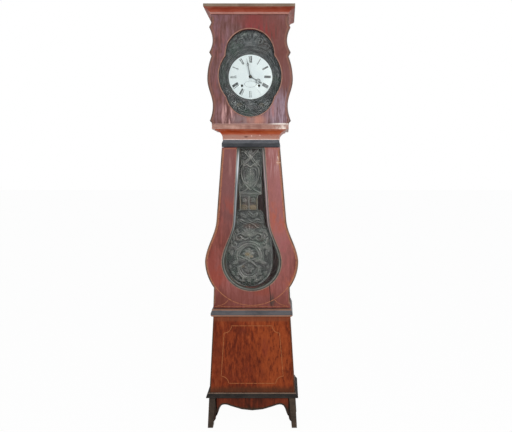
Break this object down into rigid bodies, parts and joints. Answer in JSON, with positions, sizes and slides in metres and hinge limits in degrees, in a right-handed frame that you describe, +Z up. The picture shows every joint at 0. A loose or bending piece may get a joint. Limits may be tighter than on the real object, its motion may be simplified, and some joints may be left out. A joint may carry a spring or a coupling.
{
  "type": "longcase clock",
  "caption": "Painted violin-shaped longcase clock: glazed hood and trunk doors, enamel dial, swinging pressed-sheet pendulum, weights on lines, gear trains and a struck bell.",
  "frame": {"origin": "centre of the bounding box at floor level", "axes": "+Z up, front with the dial towards -Y, +X to the right as seen from the front"},
  "size_m": [0.5264, 0.31, 2.35],
  "materials": {
    "red_paint": "worn satin paint over pine",
    "black_paint": "worn black paint over pine",
    "bare_pine": "aged bare pine",
    "glass": "old clear glass",
    "iron": "dark forged and cast iron",
    "brass": "aged brass",
    "pressed_brass": "patinated pressed sheet",
    "enamel": "glossy white enamel on copper",
    "blued_steel": "dark blued steel",
    "bell_metal": "cast bell metal",
    "gut_line": "twisted line"
  },
  "bodies": {
    "case": {"base_front": "red_paint", "base_side_left": "red_paint", "base_side_right": "red_paint", "apron": "red_paint", "trunk_side_left": "red_paint", "trunk_side_right": "red_paint", "neck_cove": "red_paint", "hood_floor": "red_paint", "hood_side_left": "red_paint", "hood_side_right": "red_paint", "hood_top": "red_paint", "cornice": "red_paint", "foot_left": "black_paint", "foot_right": "black_paint", "base_moulding": "black_paint", "waist_moulding": "black_paint", "neck_band": "black_paint", "back_board": "bare_pine", "hood_hinge_upper_pintle": "iron", "hood_hinge_lower_pintle": "iron", "trunk_hinge_upper_pintle": "iron", "trunk_hinge_lower_pintle": "iron", "movement_cage": "iron", "cage_top_plate": "iron", "front_plate": "brass", "back_plate": "brass", "dial_surround": "pressed_brass", "dial": "enamel", "bell": "bell_metal"},
    "hood_door": {"hood_door": "red_paint", "hood_glass": "glass", "hood_hinge_upper_eye": "iron", "hood_hinge_lower_eye": "iron"},
    "trunk_door": {"trunk_door": "red_paint", "trunk_moulding": "black_paint", "trunk_glass": "glass", "trunk_hinge_upper_eye": "iron", "trunk_hinge_lower_eye": "iron"},
    "pendulum": {"pendulum_rod": "iron", "pendulum_sheet": "pressed_brass"},
    "anchor": {"anchor": "iron"},
    "third_wheel": {"third_wheel": "brass"},
    "centre_wheel": {"centre_wheel": "brass"},
    "going_great_wheel": {"going_great_wheel": "brass"},
    "escape_wheel": {"escape_wheel": "brass"},
    "strike_great_wheel": {"strike_great_wheel": "brass"},
    "strike_pin_wheel": {"strike_pin_wheel": "brass"},
    "minute_hand": {"minute_hand": "blued_steel", "cannon_pinion": "brass"},
    "minute_wheel": {"minute_wheel": "brass"},
    "hour_hand": {"hour_hand": "blued_steel", "hour_wheel": "brass"},
    "going_weight": {"going_weight": "iron", "going_line": "gut_line"},
    "strike_weight": {"strike_weight": "iron", "strike_line": "gut_line"},
    "going_drum": {"going_drum": "brass"},
    "strike_drum": {"strike_drum": "brass"},
    "hammer": {"hammer": "iron"}
  },
  "joints": [
    {"name": "hood_door_hinge", "type": "hinge", "parent": "case", "child": "hood_door", "pos_m": [0.1939, -0.0981, 1.7245], "axis": [0, 0, 1], "range_deg": [0, 95]},
    {"name": "trunk_door_hinge", "type": "hinge", "parent": "case", "child": "trunk_door", "pos_m": [0.21361, -0.0591, 0.6969], "axis": [-0.0655, 0, 0.9979], "range_deg": [0, 95]},
    {"name": "pendulum_swing", "type": "hinge", "parent": "case", "child": "pendulum", "pos_m": [0, 0, 2.062], "axis": [0, 1, 0], "range_deg": [-2.88, 1.12]},
    {"name": "anchor_rock", "type": "hinge", "parent": "case", "child": "anchor", "pos_m": [0, 0, 2.062], "axis": [0, 1, 0], "range_deg": [-2.88, 1.12]},
    {"name": "third_wheel_turn", "type": "hinge", "parent": "case", "child": "third_wheel", "pos_m": [0.02184, 0, 2.01006], "axis": [0, 1, 0], "continuous": true},
    {"name": "centre_wheel_turn", "type": "hinge", "parent": "case", "child": "centre_wheel", "pos_m": [0, 0, 1.984], "axis": [0, 1, 0], "continuous": true},
    {"name": "going_great_wheel_turn", "type": "hinge", "parent": "case", "child": "going_great_wheel", "pos_m": [0.0466, 0, 1.937], "axis": [0, 1, 0], "continuous": true},
    {"name": "escape_wheel_turn", "type": "hinge", "parent": "case", "child": "escape_wheel", "pos_m": [0, 0, 2.034], "axis": [0, 1, 0], "continuous": true},
    {"name": "strike_great_wheel_turn", "type": "hinge", "parent": "case", "child": "strike_great_wheel", "pos_m": [-0.0466, 0, 1.937], "axis": [0, 1, 0], "continuous": true},
    {"name": "strike_pin_wheel_turn", "type": "hinge", "parent": "case", "child": "strike_pin_wheel", "pos_m": [-0.06705, 0, 1.99995], "axis": [0, 1, 0], "continuous": true},
    {"name": "minute_hand_turn", "type": "hinge", "parent": "case", "child": "minute_hand", "pos_m": [0, 0, 1.984], "axis": [0, 1, 0], "continuous": true},
    {"name": "minute_wheel_turn", "type": "hinge", "parent": "case", "child": "minute_wheel", "pos_m": [0, 0, 2.008], "axis": [0, 1, 0], "continuous": true},
    {"name": "hour_hand_turn", "type": "hinge", "parent": "case", "child": "hour_hand", "pos_m": [0, 0, 1.984], "axis": [0, 1, 0], "continuous": true},
    {"name": "going_weight_drop", "type": "slide", "parent": "case", "child": "going_weight", "axis": [0, 0, 1], "range_m": [0, 0.9], "deforming": ["going_line"]},
    {"name": "strike_weight_drop", "type": "slide", "parent": "case", "child": "strike_weight", "axis": [0, 0, 1], "range_m": [0, 0.9], "deforming": ["strike_line"]},
    {"name": "going_drum_turn", "type": "hinge", "parent": "case", "child": "going_drum", "pos_m": [0.0466, 0, 1.937], "axis": [0, 1, 0], "range_deg": [-2200, 0]},
    {"name": "strike_drum_turn", "type": "hinge", "parent": "case", "child": "strike_drum", "pos_m": [-0.0466, 0, 1.937], "axis": [0, 1, 0], "range_deg": [0, 2200]},
    {"name": "hammer_lift", "type": "hinge", "parent": "case", "child": "hammer", "pos_m": [-0.075, 0, 2.074], "axis": [0, 1, 0], "range_deg": [-14, 0]}
  ],
  "couplings": [
    {"joint": "anchor_rock", "follows": "pendulum_swing", "ratio": 1},
    {"joint": "centre_wheel_turn", "follows": "third_wheel_turn", "ratio": -0.13333},
    {"joint": "going_great_wheel_turn", "follows": "third_wheel_turn", "ratio": 0.014815},
    {"joint": "escape_wheel_turn", "follows": "third_wheel_turn", "ratio": -8},
    {"joint": "strike_pin_wheel_turn", "follows": "strike_great_wheel_turn", "ratio": -9},
    {"joint": "minute_wheel_turn", "follows": "minute_hand_turn", "ratio": -0.33333},
    {"joint": "hour_hand_turn", "follows": "minute_hand_turn", "ratio": 0.083333},
    {"joint": "going_drum_turn", "follows": "going_weight_drop", "rad_per_m": -41.841},
    {"joint": "strike_drum_turn", "follows": "strike_weight_drop", "rad_per_m": 41.841}
  ]
}
